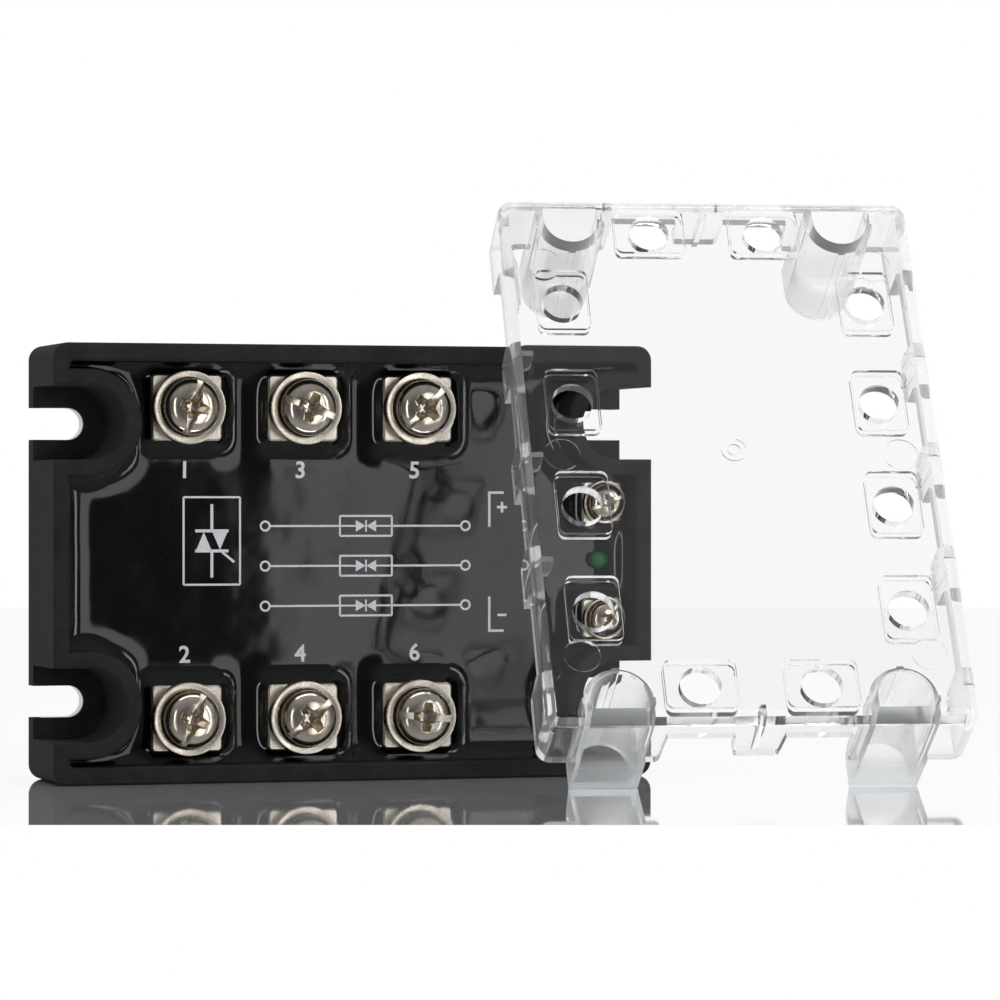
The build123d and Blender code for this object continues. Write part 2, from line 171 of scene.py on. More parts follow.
def cast_epoxy(name):
    """Poured epoxy potting compound: black all through, cured to a wet-looking gloss with dust in it."""
    made, tree, out = new_material(name)
    place = add(tree, "TexCoord").outputs["Object"]
    ripple = speckle(tree, place, 5.0, 1.0, 0.4)
    dust = ranged(tree, speckle(tree, place, 0.32, 2.0, 0.6), 0.735, 0.76, 0.0, 0.8)
    haze = speckle(tree, place, 12.0, 3.0, 0.65)
    colour = blended(tree, dust, hex_colour("#060607"), hex_colour("#77777c"))
    rough = ranged(tree, haze, 0.35, 0.7, 0.05, 0.12)
    shader = add(tree, "BsdfPrincipled", {
        "Base Color": colour, "Roughness": rough, "IOR": 1.46,
        "Normal": bumped(tree, ripple, 0.03, 1.0)})
    tree.links.new(shader.outputs[0], out.inputs["Surface"])
    return made


def plated_nickel(name, base, dull, smooth, rough_to, pits):
    """Barrel-plated nickel: a warm grey mirror, broken up by the tumbling it went through."""
    made, tree, out = new_material(name)
    place = add(tree, "TexCoord").outputs["Object"]
    tumble = speckle(tree, place, 0.28, 3.0, 0.6)
    stain = speckle(tree, place, 2.6, 4.0, 0.6)
    colour = blended(tree, ranged(tree, stain, 0.4, 0.72, 0.0, 1.0), hex_colour(base), hex_colour(dull))
    rough = ranged(tree, stain, 0.3, 0.75, smooth, rough_to)
    shader = add(tree, "BsdfPrincipled", {
        "Base Color": colour, "Metallic": 1.0, "Roughness": rough,
        "Normal": bumped(tree, tumble, pits, 1.0)})
    tree.links.new(shader.outputs[0], out.inputs["Surface"])
    return made


FEED = 1.2                     # between one sweep of the fly cutter and the next
SWEEP = 250.0                  # radius of its sweep


def milled_aluminium(name):
    """Rolled aluminium plate, faced with a fly cutter: fine curved cutter marks, satin."""
    made, tree, out = new_material(name)
    place = add(tree, "TexCoord").outputs["Object"]
    centred = add(tree, "VectorMath", {0: place, 1: (0.0, 0.0, SWEEP * MM)},
                  operation="ADD").outputs["Vector"]
    marks = add(tree, "TexWave", {"Vector": centred, "Scale": 1 / (FEED * MM) / 6.283, "Distortion": 0.6,
                                  "Detail": 2.0}, wave_type="RINGS", rings_direction="Y").outputs["Fac"]
    stain = speckle(tree, place, 9.0, 4.0, 0.6)
    colour = blended(tree, stain, hex_colour("#c9cacc"), hex_colour("#b4b5b8"))
    rough = ranged(tree, stain, 0.3, 0.7, 0.28, 0.42)
    shader = add(tree, "BsdfPrincipled", {
        "Base Color": colour, "Metallic": 1.0, "Roughness": rough,
        "Normal": bumped(tree, marks, 0.01, 0.5)})
    tree.links.new(shader.outputs[0], out.inputs["Surface"])
    return made


def screen_ink(name):
    """Screen-printed epoxy ink: pale grey, matt, a little broken where the mesh printed thin."""
    made, tree, out = new_material(name)
    place = add(tree, "TexCoord").outputs["Object"]
    thin = ranged(tree, speckle(tree, place, 0.3, 3.0, 0.7), 0.3, 0.5, 0.0, 1.0)
    colour = blended(tree, thin, hex_colour("#b4b5bb"), hex_colour("#dcdde2"))
    shader = add(tree, "BsdfPrincipled", {"Base Color": colour, "Roughness": 0.55, "IOR": 1.5})
    tree.links.new(shader.outputs[0], out.inputs["Surface"])
    return made


def tinted_epoxy(name):
    """Cast epoxy lamp body: deep green, clear, polished by its mould."""
    made, tree, out = new_material(name)
    place = add(tree, "TexCoord").outputs["Object"]
    cloud = speckle(tree, place, 1.5, 2.0, 0.5)
    colour = blended(tree, cloud, hex_colour("#1d7a3c"), hex_colour("#2b9450"))
    shader = add(tree, "BsdfPrincipled", {
        "Base Color": colour, "Roughness": 0.08, "IOR": 1.53, "Transmission Weight": 0.35})
    tree.links.new(shader.outputs[0], out.inputs["Surface"])
    return made


FROST_START, FROST_FULL = 13.0, 16.0     # below the cover's outer face


def clear_polycarbonate(name, outward, face):
    """Injection-moulded polycarbonate: water clear with polished faces, frosted towards its tubes' ends.

    Light bends less in it than in the raw plastic, because the thin walls of a cover hardly shift
    what is behind them. Its edges look milky, since the eye goes a long way through the plastic
    there. The frost starts below the walls, measured inwards from the outer face.
    """
    made, tree, out = new_material(name)
    place = add(tree, "TexCoord").outputs["Object"]
    depth = add(tree, "VectorMath", {0: place, 1: tuple(outward)},
                operation="DOT_PRODUCT").outputs["Value"]
    frost = ranged(tree, depth, face - FROST_START * MM, face - FROST_FULL * MM, 0.0, 1.0)
    flow = speckle(tree, place, 14.0, 2.0, 0.5)
    sparkle = speckle(tree, place, 0.35, 2.0, 0.7)
    rough = add(tree, "Math", {0: frost, 1: 0.22, 2: 0.02}, operation="MULTIPLY_ADD").outputs[0]
    waves = add(tree, "Bump", {"Height": flow, "Distance": 0.02 * MM, "Strength": 0.3}).outputs["Normal"]
    grain = add(tree, "Bump", {
        "Height": sparkle, "Distance": 0.05 * MM, "Strength": frost, "Normal": waves})
    facing = add(tree, "LayerWeight", {"Blend": 0.5}).outputs["Facing"]
    grazing = add(tree, "Math", {0: facing, 1: 3.0}, operation="POWER").outputs[0]
    edge_loss = add(tree, "Math", {0: grazing, 1: -0.55, 2: 1.0}, operation="MULTIPLY_ADD").outputs[0]
    clearness = add(tree, "Math", {0: frost, 1: -0.2, 2: edge_loss}, operation="MULTIPLY_ADD").outputs[0]
    body = add(tree, "BsdfPrincipled", {
        "Base Color": hex_colour("#fdfdfd"), "Roughness": rough, "IOR": 1.3,
        "Transmission Weight": clearness, "Coat Weight": 0.5, "Coat Roughness": 0.02,
        "Normal": grain.outputs["Normal"]})
    window = add(tree, "BsdfTransparent", {"Color": hex_colour("#e9ecee")})
    ray = add(tree, "LightPath")
    mixed = add(tree, "MixShader", {
        0: ray.outputs["Is Shadow Ray"], 1: body.outputs[0], 2: window.outputs[0]})
    tree.links.new(mixed.outputs[0], out.inputs["Surface"])
    return made


def plain_part(name, base, other, size, rough, metal=0.0):
    """A buried part: two tones of one colour in blotches of a given size."""
    made, tree, out = new_material(name)
    place = add(tree, "TexCoord").outputs["Object"]
    tone = speckle(tree, place, size, 4.0, 0.6)
    shader = add(tree, "BsdfPrincipled", {
        "Base Color": blended(tree, tone, hex_colour(base), hex_colour(other)), "Roughness": rough,
        "Metallic": metal, "Normal": bumped(tree, tone, 0.02, 0.6)})
    tree.links.new(shader.outputs[0], out.inputs["Surface"])
    return made


HOUSING_PBT = moulded_pbt("moulded_black_pbt", "#232324", "#2f2f30")
EPOXY = cast_epoxy("cast_black_epoxy")
SCREW_NICKEL = plated_nickel("nickel_plated_screw_steel", "#d6cdc0", "#b9b0a2", 0.15, 0.24, 0.006)
WASHER_NICKEL = plated_nickel("nickel_plated_washer_steel", "#ddd5c8", "#c2b9ab", 0.22, 0.34, 0.014)
PLATE_NICKEL = plated_nickel("nickel_plated_terminal_brass", "#e4ddd0", "#cfc6b7", 0.26, 0.40, 0.022)
BASE_ALUMINIUM = milled_aluminium("milled_aluminium")
INK = screen_ink("screen_printed_ink")
LAMP_EPOXY = tinted_epoxy("tinted_lamp_epoxy")
COVER_CLEAR = clear_polycarbonate("clear_moulded_polycarbonate", COVER_OUTWARD, COVER_FACE)
BURIED = {
    "copper": plain_part("rolled_copper", "#b87355", "#a5644a", 2.0, 0.35, 1.0),
    "silicon": plain_part("polished_silicon", "#4b4d52", "#5a5c62", 3.0, 0.15),
    "ceramic": plain_part("sintered_alumina", "#e6e2da", "#d9d4ca", 0.6, 0.6),
    "board_laminate": plain_part("glass_epoxy_laminate", "#1f5a34", "#2a6a40", 0.8, 0.4),
    "component_plastic": plain_part("moulded_component_epoxy", "#1c1c1d", "#262627", 0.5, 0.5),
}

# ------------------------------------------------------------------ mesh helpers


def as_piece(name, mesh, body, material, crease=35.0):
    """Link a mesh in metres as a piece of the model."""
    made = bpy.data.objects.new(name, mesh)
    bpy.context.scene.collection.objects.link(made)
    if not mesh.materials:
        mesh.materials.append(material)
    mesh.shade_smooth()
    mesh.set_sharp_from_angle(angle=math.radians(crease))
    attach(made, body)
    return made


def rounded(points, radii, steps=4):
    """A profile with its inner corners rounded by short arcs."""
    result = [Vector(points[0])]
    for before, at, after, radius in zip(points, points[1:], points[2:], radii):
        corner, back, on = Vector(at), Vector(before) - Vector(at), Vector(after) - Vector(at)
        reach = min(radius, 0.45 * back.length, 0.45 * on.length)
        if reach < 1e-4:
            result.append(corner)
            continue
        start, end = corner + back.normalized() * reach, corner + on.normalized() * reach
        for step in range(steps + 1):
            t = step / steps
            result.append((1 - t) ** 2 * start + 2 * t * (1 - t) * corner + t * t * end)
    return result + [Vector(points[-1])]


def lathe(bm, profile, steps, closed=True):
    """Turn a profile of (radius, height) about the bench's vertical; closed joins its ends."""
    rings = []
    for radius, height in profile:
        if radius < 1e-6:
            rings.append([bm.verts.new((0, 0, height))])
        else:
            rings.append([bm.verts.new((radius * math.cos(a), radius * math.sin(a), height))
                          for a in (2 * math.pi * i / steps for i in range(steps))])
    pairs = list(zip(rings, rings[1:])) + ([(rings[-1], rings[0])] if closed else [])
    for lower, upper in pairs:
        for i in range(steps):
            j = (i + 1) % steps
            ring = [lower[i % len(lower)], lower[j % len(lower)],
                    upper[j % len(upper)], upper[i % len(upper)]]
            unique = [v for k, v in enumerate(ring) if v not in ring[:k]]
            if len(unique) > 2:
                bm.faces.new(unique)


def finished(bm, name, matrix=Matrix.Identity(4)):
    """Close a bmesh into a mesh, still in bench millimetres."""
    bmesh.ops.recalc_face_normals(bm, faces=bm.faces)
    mesh = bpy.data.meshes.new(name)
    bm.to_mesh(mesh)
    bm.free()
    mesh.transform(matrix)
    return mesh


def applied(obj):
    """The object's mesh with its modifiers applied."""
    graph = bpy.context.evaluated_depsgraph_get()
    return bpy.data.meshes.new_from_object(obj.evaluated_get(graph))


def scratch(mesh):
    """A loose object to hang modifiers on."""
    made = bpy.data.objects.new("scratch", mesh)
    bpy.context.scene.collection.objects.link(made)
    return made


def carved(mesh, cutters, bevel):
    """A mesh with each cutter taken out of it and its sharp edges eased."""
    body = scratch(mesh)
    tools = [scratch(cutter) for cutter in cutters]
    for tool in tools:
        cut = body.modifiers.new("cut", "BOOLEAN")
        cut.operation, cut.solver, cut.object = "DIFFERENCE", "EXACT", tool
    ease = body.modifiers.new("ease", "BEVEL")
    ease.width, ease.segments, ease.limit_method = bevel, 2, "ANGLE"
    ease.angle_limit = math.radians(40)
    result = applied(body)
    for made in (body, *tools):
        bpy.data.objects.remove(made)
    return result


# ------------------------------------------------------------------ screws and washers

# Diameters of thread, head, cup and lock washer; heights of head (rise), cup (lip), lock washer
# (spring) and the cup's floor; the thread's pitch and the shank's length.
M5 = dict(thread=4.8, pitch=0.8, shank=10.0, head=9.5, rise=3.7, cup=12.4, lip=2.2, lock=9.2, spring=1.3,
          floor=1.2)
M3 = dict(thread=2.8, pitch=0.5, shank=8.0, head=6.0, rise=2.4, cup=7.4, lip=1.4, lock=5.6, spring=0.8,
          floor=0.7)


def head_profile(s):
    """Pan head: short straight skirt, round shoulder and a slightly crowned top."""
    r, h = s["head"] / 2, s["rise"]
    profile = [(0.0, 0.0), (r - 0.15, 0.0), (r, 0.15), (r, 0.30 * h)]
    for step in range(1, 13):
        t = step / 12 * math.pi / 2
        profile.append((r * (0.36 + 0.64 * math.cos(t)), h * (0.30 + 0.62 * math.sin(t))))
    profile += [(0.24 * r, 0.955 * h), (0.12 * r, 0.985 * h), (0.0, h)]
    return profile


def slot_cutter(s):
    """Slot right across the head."""
    r, h, half = s["head"] / 2, s["rise"], 0.058 * s["head"]
    bm = bmesh.new()
    box = bmesh.ops.create_cube(bm, size=2.0)["verts"]
    bmesh.ops.scale(bm, vec=(r + 1, half, 0.35 * h), verts=box)
    bmesh.ops.translate(bm, vec=(0, 0, 0.85 * h), verts=box)
    return finished(bm, "slot_cutter")


def cross_cutter(s):
    """Tapered cross: square-ended wings joined by hollow corners, and a small point at the bottom."""
    bm = bmesh.new()
    h = s["rise"]
    levels = []
    for z, reach, width in ((0.12 * h, 0.08, 0.035), (0.5 * h, 0.21, 0.07), (h + 0.6, 0.30, 0.094)):
        span, wide = reach * s["head"], width * s["head"]
        star = []
        for quarter in range(4):
            turn = quarter * math.pi / 2
            hollow = [(wide * 1.75, wide * 1.06), (wide * 1.28, wide * 1.28), (wide * 1.06, wide * 1.75)]
            for x, y in [(span, -wide * 0.78), (span, wide * 0.78), *hollow]:
                star.append((x * math.cos(turn) - y * math.sin(turn),
                             x * math.sin(turn) + y * math.cos(turn), z))
        levels.append([bm.verts.new(v) for v in star])
    count = len(levels[0])
    for lower, upper in zip(levels, levels[1:]):
        for i in range(count):
            j = (i + 1) % count
            bm.faces.new([lower[i], lower[j], upper[j], upper[i]])
    tip = bm.verts.new((0, 0, 0.08 * h))
    for i in range(count):
        bm.faces.new([levels[0][(i + 1) % count], levels[0][i], tip])
    bm.faces.new(levels[-1])
    return finished(bm, "cross_cutter")


def thread_mesh(s):
    """Rolled thread on the shank, from under the head down to its chamfered tip."""
    bm = bmesh.new()
    steps, per_turn = 40, 6
    rows = int(s["shank"] / s["pitch"] * per_turn)
    depth = 0.6 * s["pitch"]
    rings = []
    for row in range(rows + 1):
        z = -s["shank"] + s["shank"] * row / rows
        tip = min(1.0, 0.55 + 0.9 * (z + s["shank"]) / s["thread"])
        neck = min(1.0, max(0.0, -z / (0.8 * s["pitch"])))
        ring = []
        for i in range(steps):
            phase = (z / s["pitch"] - i / steps) % 1.0
            ridge = min(1.0, max(0.0, 2.4 * abs(phase - 0.5) - 0.1))
            radius = (s["thread"] / 2 - depth * (1 - ridge) * neck) * tip
            a = 2 * math.pi * i / steps
            ring.append(bm.verts.new((radius * math.cos(a), radius * math.sin(a), z)))
        rings.append(ring)
    for lower, upper in zip(rings, rings[1:]):
        for i in range(steps):
            j = (i + 1) % steps
            bm.faces.new([lower[i], lower[j], upper[j], upper[i]])
    bm.faces.new(list(reversed(rings[0])))
    bm.faces.new(rings[-1])
    return finished(bm, "thread")


def screw_mesh(s, name):
    """Head with its recess, joined to the threaded shank; the seat is at height 0."""
    bm = bmesh.new()
    lathe(bm, head_profile(s), 72, closed=False)
    head = carved(finished(bm, "head"), [slot_cutter(s), cross_cutter(s)], 0.01 * s["head"])
    joined = bmesh.new()
    joined.from_mesh(head)
    joined.from_mesh(thread_mesh(s))
    return finished(joined, name)


def cup_mesh(s, name):
    """Cup washer: a pressed dish whose lip stands up round the spring washer."""
    outer, hole, bowl = s["cup"] / 2, s["thread"] / 2 + 0.3, s["lock"] / 2 + 0.25
    points = [(hole, 0.0), (outer, 0.0), (outer, s["lip"]), (bowl + 0.12, s["lip"] - 0.12),
              (bowl - 0.15, s["floor"]), (hole, s["floor"]), (hole, 0.0)]
    soft = 0.045 * outer
    profile = rounded(points, [0.6 * soft, 0.8 * soft, 0.7 * soft, soft, 0.5 * soft])
    bm = bmesh.new()
    lathe(bm, profile[:-1], 96)
    return finished(bm, name)


def spring_mesh(s, name):
    """Split spring washer: a square-section coil of one turn, its two ends a little apart."""
    bm = bmesh.new()
    inner, outer, steps = s["thread"] / 2 + 0.25, s["lock"] / 2, 72
    gap, lift, e = math.radians(9), 0.12 * s["spring"], 0.06 * s["spring"]
    rings = []
    for i in range(steps + 1):
        a = gap / 2 + (2 * math.pi - gap) * i / steps
        z = s["floor"] + lift * i / steps
        top = z + s["spring"] - lift
        section = [(inner, z + e), (inner + e, z), (outer - e, z), (outer, z + e),
                   (outer, top - e), (outer - e, top), (inner + e, top), (inner, top - e)]
        rings.append([bm.verts.new((r * math.cos(a), r * math.sin(a), h)) for r, h in section])
    for lower, upper in zip(rings, rings[1:]):
        for i in range(8):
            j = (i + 1) % 8
            bm.faces.new([lower[i], lower[j], upper[j], upper[i]])
    bm.faces.new(list(reversed(rings[0])))
    bm.faces.new(rings[-1])
    return finished(bm, name)


def slot_angle(name):
    """How far each screw was left turned, in degrees from the relay's length."""
    return {"line_1": 74, "line_2": -20, "line_3": 45, "load_1": 67, "load_2": 39, "load_3": -5,
            "input_plus": 20, "input_minus": 52}[name]


def fit_fastenings(names, s, size):
    """Cup washer, spring washer and screw on each terminal, all in place of the plain CAD ones."""
    meshes = {"screw": screw_mesh(s, "screw_" + size), "cup_washer": cup_mesh(s, "cup_" + size),
              "lock_washer": spring_mesh(s, "spring_" + size)}
    seat = s["floor"] + s["spring"]
    for name in names:
        x, y, level = centre_of(name)
        turn = Matrix.Rotation(math.radians(slot_angle(name)), 4, "Z")
        for part, mesh in meshes.items():
            lift = seat if part == "screw" else 0.0
            place = STAND_UP @ Matrix.Scale(MM, 4) @ Matrix.Translation((x, y, level + lift)) @ turn
            own = mesh.copy()
            own.transform(place)
            is_screw = part == "screw"
            body = name + ("_screw_body" if is_screw else "_washers")
            made = as_piece("fitted_" + name + "_" + part, own, body,
                            SCREW_NICKEL if is_screw else WASHER_NICKEL,
                            32.0)
            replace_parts(made, name + "_" + part)


fit_fastenings(POWER, M5, "m5")
fit_fastenings(INPUTS, M3, "m3")

# ------------------------------------------------------------------ potting compound

RESIN_FLAT = 12.2          # height of the resin away from everything
RESIN_RISE = 2.1           # how far it climbs what it wets
RISE_LENGTH = 6.4          # how far from it the climb begins
SLOT_INSET, SLOT_ROW = 6.1, 23.5           # of a mounting slot's round end, from end and centre line
RECESS_CENTRE = (HALF_LENGTH - SLOT_INSET, SLOT_ROW)
RECESS_WALL = 8.9          # radius of a recess wall's outer face
PEDESTAL_HALF, PEDESTAL_CORNER = 5.8, 1.0
INPUT_BLOCK_HALF, INPUT_BLOCK_CORNER = 2.7, 0.6
TUCKED = 0.45              # the resin's edge runs this far into what it wets
SKIRT = 3.0                # depth of its sides below the flat
GRID_STEP = 0.4


def round_box(dx, dy, half_x, half_y, radius):
    """Distance from a rounded rectangle, negative inside."""
    qx, qy = np.abs(dx) - half_x + radius, np.abs(dy) - half_y + radius
    outside = np.hypot(np.maximum(qx, 0), np.maximum(qy, 0))
    return outside + np.minimum(np.maximum(qx, qy), 0) - radius


def wetted_distances(x, y):
    """Distances to what the resin climbs: four rim walls and four recess walls, then the terminals."""
    walls = [HALF_WELL[0] - x, HALF_WELL[0] + x, HALF_WELL[1] - y, HALF_WELL[1] + y]
    for sx in (-1, 1):
        for sy in (-1, 1):
            dx, dy = np.maximum(RECESS_CENTRE[0] - sx * x, 0), sy * y - RECESS_CENTRE[1]
            walls.append(np.hypot(dx, dy) - RECESS_WALL)
    stands = []
    for name in POWER:
        cx, cy, _ = centre_of(name)
        stands.append(round_box(x - cx, y - cy, PEDESTAL_HALF, PEDESTAL_HALF, PEDESTAL_CORNER))
    for name in INPUTS:
        cx, cy, _ = centre_of(name)
        stands.append(round_box(x - cx, y - cy, INPUT_BLOCK_HALF, INPUT_BLOCK_HALF, INPUT_BLOCK_CORNER))
    return walls, stands


def resin_height(x, y):
    """Height of the resin at bench points given as arrays."""
    walls, stands = wetted_distances(x, y)
    left = np.ones_like(x)
    for distance in walls + stands:
        left = left * (1 - (1 - np.clip(distance / RISE_LENGTH, 0, 1)) ** 3)
    return RESIN_FLAT + RESIN_RISE * (1 - left)


def slow_wave(x, y):
    """The slight unevenness that cured resin keeps, in millimetres."""
    swell = noise.noise(Vector((x / 13.0, y / 13.0, 0.3)))
    ripple = noise.noise(Vector((x / 5.0, y / 5.0, 4.7)))
    return 0.05 * swell + 0.018 * ripple


def make_resin():
    """The resin's whole top face on a fine grid, open round what stands through it, with short sides."""
    xs = np.linspace(-HALF_WELL[0] - 0.2, HALF_WELL[0] + 0.2, int(2 * HALF_WELL[0] / GRID_STEP))
    ys = np.linspace(-HALF_WELL[1] - 0.2, HALF_WELL[1] + 0.2, int(2 * HALF_WELL[1] / GRID_STEP))
    gx, gy = np.meshgrid(xs, ys, indexing="ij")
    height = resin_height(gx, gy)
    walls, stands = wetted_distances(gx, gy)
    blocked = np.min(walls[4:] + stands, axis=0) < -TUCKED
    index = -np.ones(gx.shape, dtype=int)
    verts, faces = [], []
    for i in range(gx.shape[0]):
        for j in range(gx.shape[1]):
            if not blocked[i, j]:
                index[i, j] = len(verts)
                verts.append((gx[i, j], gy[i, j], height[i, j] + slow_wave(gx[i, j], gy[i, j])))
    for i in range(gx.shape[0] - 1):
        for j in range(gx.shape[1] - 1):
            ring = [index[i, j], index[i + 1, j], index[i + 1, j + 1], index[i, j + 1]]
            if min(ring) >= 0:
                faces.append(ring)
    bm = bmesh.new()
    made = [bm.verts.new(v) for v in verts]
    for ring in faces:
        bm.faces.new([made[k] for k in ring])
    bmesh.ops.delete(bm, geom=[v for v in bm.verts if not v.link_faces], context="VERTS")
    edges = [e for e in bm.edges if e.is_boundary]
    sides = bmesh.ops.extrude_edge_only(bm, edges=edges)["geom"]
    lowered = [g for g in sides if isinstance(g, bmesh.types.BMVert)]
    for v in lowered:
        v.co.z = RESIN_FLAT - SKIRT
    bmesh.ops.holes_fill(bm, edges=[e for e in bm.edges if e.is_boundary], sides=0)
    mesh = finished(bm, "potting", STAND_UP @ Matrix.Scale(MM, 4))
    return as_piece("potting_surface", mesh, "relay", EPOXY, 60.0)


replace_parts(make_resin(), "potting_resin")

# ------------------------------------------------------------------ printing

INK_LIFT = 0.04            # thickness of the ink
LONGEST_EDGE = 0.9         # of a piece of ink, so that it follows the resin
THIN, LINE, SIGN, HEAVY = 0.3, 0.34, 0.42, 0.5      # widths of the printed lines


def resin_top(x, y):
    """Height of the ink's surface at one bench point."""
    return float(resin_height(np.array([x]), np.array([y]))[0]) + slow_wave(x, y) + INK_LIFT


def laid_on_resin(bm, name):
    """Ink shapes, cut small enough to follow the resin and laid on it."""
    bmesh.ops.triangulate(bm, faces=bm.faces)
    for _ in range(5):
        long = [e for e in bm.edges if e.calc_length() > LONGEST_EDGE]
        if long:
            bmesh.ops.subdivide_edges(bm, edges=long, cuts=1)
            bmesh.ops.triangulate(bm, faces=bm.faces)
    for v in bm.verts:
        v.co.z = resin_top(v.co.x, v.co.y)
    mesh = finished(bm, name, STAND_UP @ Matrix.Scale(MM, 4))
    return as_piece(name, mesh, "relay", INK)


def ink_mesh(name, outlines):
    """Flat ink shapes laid on the resin; each outline is a closed list of bench points."""
    bm = bmesh.new()
    for outline in outlines:
        bm.faces.new([bm.verts.new((x, y, 0)) for x, y in outline])
    return laid_on_resin(bm, name)


def bar(x0, y0, x1, y1, width):
    """Outline of a straight line of ink."""
    along = Vector((x1 - x0, y1 - y0)).normalized()
    side = Vector((-along.y, along.x)) * width / 2
    start, end = Vector((x0, y0)), Vector((x1, y1))
    return [tuple(p) for p in (start - side, end - side, end + side, start + side)]


def printed_text(name, text, x, y, size):
    """Numbers and signs in the plain built-in face, laid on the resin."""
    curve = bpy.data.curves.new(name, "FONT")
    curve.body, curve.size, curve.offset = text, size, 0.02 * size
    curve.align_x, curve.align_y = "CENTER", "CENTER"
    curve.resolution_u = 4
    holder = bpy.data.objects.new("scratch", curve)
    bpy.context.scene.collection.objects.link(holder)
    mesh = applied(holder)
    bpy.data.objects.remove(holder)
    mesh.transform(Matrix.Translation((x, y, 0)))
    bm = bmesh.new()
    bm.from_mesh(mesh)
    return laid_on_resin(bm, name)


def ring_outline(x, y, outer, inner, steps=28):
    """A ring of ink as a string of short pieces."""
    pieces = []
    for i in range(steps):
        a, b = 2 * math.pi * i / steps, 2 * math.pi * (i + 1) / steps
        ends = ((inner, a), (outer, a), (outer, b), (inner, b))
        pieces.append([(x + r * math.cos(t), y + r * math.sin(t)) for r, t in ends])
    return pieces


def print_numbers():
    """A number beside each power terminal, on the side of the relay's centre line."""
    for number, name in zip("135246", POWER):
        x, y, _ = centre_of(name)
        printed_text("number_" + number, number, x + 0.3, y - math.copysign(10.6, y), 4.0)


def print_input_marks():
    """A bracket by the input terminals, with a sign for each of them."""
    corner_x, reach, inner, tick, sign_y = 25.9, 11.9, 6.0, 2.6, 9.2
    bracket = []
    for side in (1, -1):
        bracket.append(bar(corner_x, side * reach, corner_x + tick, side * reach, SIGN))
        bracket.append(bar(corner_x, side * (reach + SIGN / 2), corner_x, side * inner, SIGN))
    ink_mesh("input_bracket", bracket)
    printed_text("plus_sign", "+", corner_x + 2.3, sign_y, 3.6)
    ink_mesh("minus_sign", [bar(corner_x + 1.5, -sign_y, corner_x + 3.1, -sign_y, SIGN)])


def print_phase_symbol():
    """One phase: a triac between two open leads, in a frame."""
    x, y, half_w, half_h, lead, plate, plate_y = -23.2, 3.7, 4.9, 7.4, 6.2, 2.9, 1.7
    lines = [bar(x - half_w, y + s * half_h, x + half_w, y + s * half_h, LINE) for s in (-1, 1)]
    lines += [bar(x + s * half_w, y - half_h, x + s * half_w, y + half_h, LINE) for s in (-1, 1)]
    lines += [bar(x, y + s * lead, x, y + s * plate_y, HEAVY) for s in (-1, 1)]
    lines += [bar(x - plate, y + s * plate_y, x + plate, y + s * plate_y, HEAVY) for s in (-1, 1)]
    lines += [[(x - 2.7, y - 1.5), (x - 0.1, y - 1.5), (x - 1.4, y + 1.5)],
              [(x + 0.1, y + 1.5), (x + 2.7, y + 1.5), (x + 1.4, y - 1.5)]]
    lines.append(bar(x + 1.8, y - 1.9, x + 3.9, y - 3.6, SIGN))
    ink_mesh("phase_symbol", lines)


def print_phase_rows():
    """Three phases: contact, line, two thyristors back to back in a box, line, contact."""
    left, right, half_box, box_rise, contact = -13.9, 21.6, 4.6, 1.7, 0.95
    middle = (left + right) / 2
    box_ends = (middle - half_box, middle + half_box)
    rows = []
    for y in (6.2, -0.6, -7.4):
        rows += ring_outline(left, y, contact, 0.6) + ring_outline(right, y, contact, 0.6)
        rows += [bar(left + contact, y, box_ends[0], y, LINE),
                 bar(box_ends[1], y, right - contact, y, LINE)]
        for s in (-1, 1):
            rows.append(bar(box_ends[0], y + s * box_rise, box_ends[1], y + s * box_rise, LINE))
        rows += [bar(x, y - box_rise, x, y + box_rise, LINE) for x in box_ends]
        for s in (-1, 1):
            rows.append([(middle + s * 1.8, y - 1.0), (middle + s * 1.8, y + 1.0), (middle + s * 0.1, y)])
            rows.append(bar(middle + s * 1.8, y, middle + s * half_box, y, THIN))
        rows.append(bar(middle, y - 1.0, middle, y + 1.0, THIN))
    ink_mesh("phase_rows", rows)


print_numbers()
print_input_marks()
print_phase_symbol()
print_phase_rows()

# ------------------------------------------------------------------ lamp


LAMP_RADIUS, LAMP_RISE = 1.5, 4.2              # lens, and its tip above the flange's underside
FLANGE_RADIUS, FLANGE_HEIGHT, FLANGE_EASE = 1.9, 0.8, 0.05
LEAD_SIDE, LEAD_PLACE = 0.5, 0.9


def make_lamp():
    """Domed lamp: flange, body and dome turned in one, on two square leads."""
    low, high = corners("status_lamp")
    x, y = (low[0] + high[0]) / 2, (low[2] + high[2]) / 2
    top = -low[1]
    base = top - LAMP_RISE
    eased, shoulder = FLANGE_RADIUS - FLANGE_EASE, base + FLANGE_HEIGHT
    profile = [(0.0, base), (eased, base), (FLANGE_RADIUS, base + FLANGE_EASE),
               (FLANGE_RADIUS, shoulder - FLANGE_EASE), (eased, shoulder), (LAMP_RADIUS, shoulder)]
    for step in range(0, 11):
        t = step / 10 * math.pi / 2
        profile.append((LAMP_RADIUS * math.cos(t), top - LAMP_RADIUS + LAMP_RADIUS * math.sin(t)))
    bm = bmesh.new()
    lathe(bm, profile, 40, closed=False)
    for side in (-1, 1):
        made = bmesh.ops.create_cube(bm, size=1.0)["verts"]
        bmesh.ops.scale(bm, vec=(LEAD_SIDE, LEAD_SIDE, base + high[1] + 0.1), verts=made)
        bmesh.ops.translate(bm, vec=(0, side * LEAD_PLACE, (base - high[1]) / 2), verts=made)
    mesh = finished(bm, "lamp", STAND_UP @ Matrix.Scale(MM, 4) @ Matrix.Translation((x, y, 0)))
    return as_piece("domed_lamp", mesh, "relay", LAMP_EPOXY)


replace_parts(make_lamp(), "status_lamp")

# ------------------------------------------------------------------ finishes of the CAD nodes

